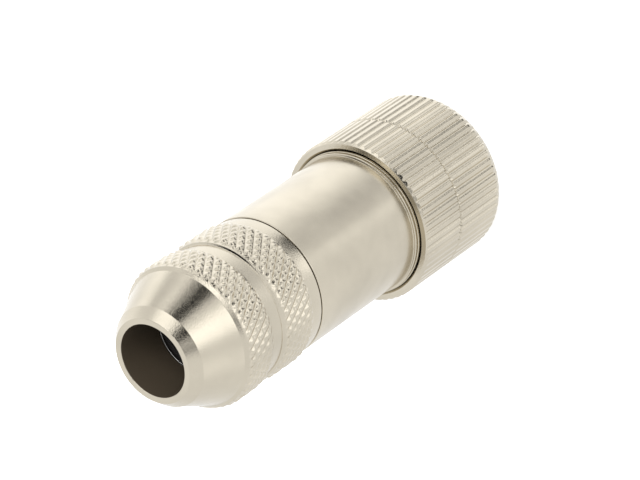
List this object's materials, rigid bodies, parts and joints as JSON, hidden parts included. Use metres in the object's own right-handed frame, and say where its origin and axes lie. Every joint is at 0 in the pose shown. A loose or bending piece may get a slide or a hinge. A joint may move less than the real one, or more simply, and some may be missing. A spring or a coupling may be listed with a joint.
{
  "type": "m12 connector",
  "caption": "Straight shielded M12 cable socket with knurled coupling nut, plain round sleeve and diamond-knurled clamp nut with conical nose.",
  "frame": {"origin": "on the axis, in the plane of the coupling nut's front face (mating end)", "axes": "+Z along the axis from the mating end to the cable end; +Y through the insert's key slot; +X completes the right-handed set"},
  "size_m": [0.02, 0.02, 0.0529],
  "materials": {
    "nickel_plated_brass": "nickel-plated brass, satin",
    "bare_steel": "bright spring steel",
    "gold_plated_contact": "gold-plated brass, smooth",
    "black_insert_plastic": "matte moulded plastic",
    "grey_clamp_plastic": "matte moulded plastic",
    "natural_plastic": "matte moulded plastic",
    "black_rubber": "soft rubber",
    "green_rubber": "soft rubber"
  },
  "bodies": {
    "body": {"nut_retaining_ring": "bare_steel", "front_seal_ring": "green_rubber", "insert_shell": "nickel_plated_brass", "contact_insert": "black_insert_plastic", "socket_contact_1": "gold_plated_contact", "socket_contact_2": "gold_plated_contact", "socket_contact_3": "gold_plated_contact", "socket_contact_4": "gold_plated_contact", "socket_contact_5": "gold_plated_contact", "terminal_screws": "bare_steel", "shell_o_ring": "black_rubber", "body_sleeve": "nickel_plated_brass", "distance_sleeve": "natural_plastic", "shield_ring": "nickel_plated_brass", "iris_spring": "bare_steel", "clamp_cage": "grey_clamp_plastic", "cable_seal": "black_rubber"},
    "coupling": {"coupling_nut": "nickel_plated_brass"},
    "clamp_slide": {"slip_washer": "bare_steel"},
    "clamp": {"clamp_nut": "nickel_plated_brass"}
  },
  "joints": [
    {"name": "coupling_turn", "type": "hinge", "parent": "body", "child": "coupling", "pos_m": [0, 0, 0.0077], "axis": [0, 0, 1], "continuous": true},
    {"name": "clamp_travel", "type": "slide", "parent": "body", "child": "clamp_slide", "axis": [0, 0, 1], "range_m": [0, 0.004]},
    {"name": "clamp_turn", "type": "hinge", "parent": "clamp_slide", "child": "clamp", "pos_m": [0, 0, 0.0432], "axis": [0, 0, 1], "range_deg": [0, 1440]}
  ],
  "couplings": [
    {"joint": "clamp_travel", "follows": "clamp_turn", "m_per_rad": 0.00015915}
  ]
}
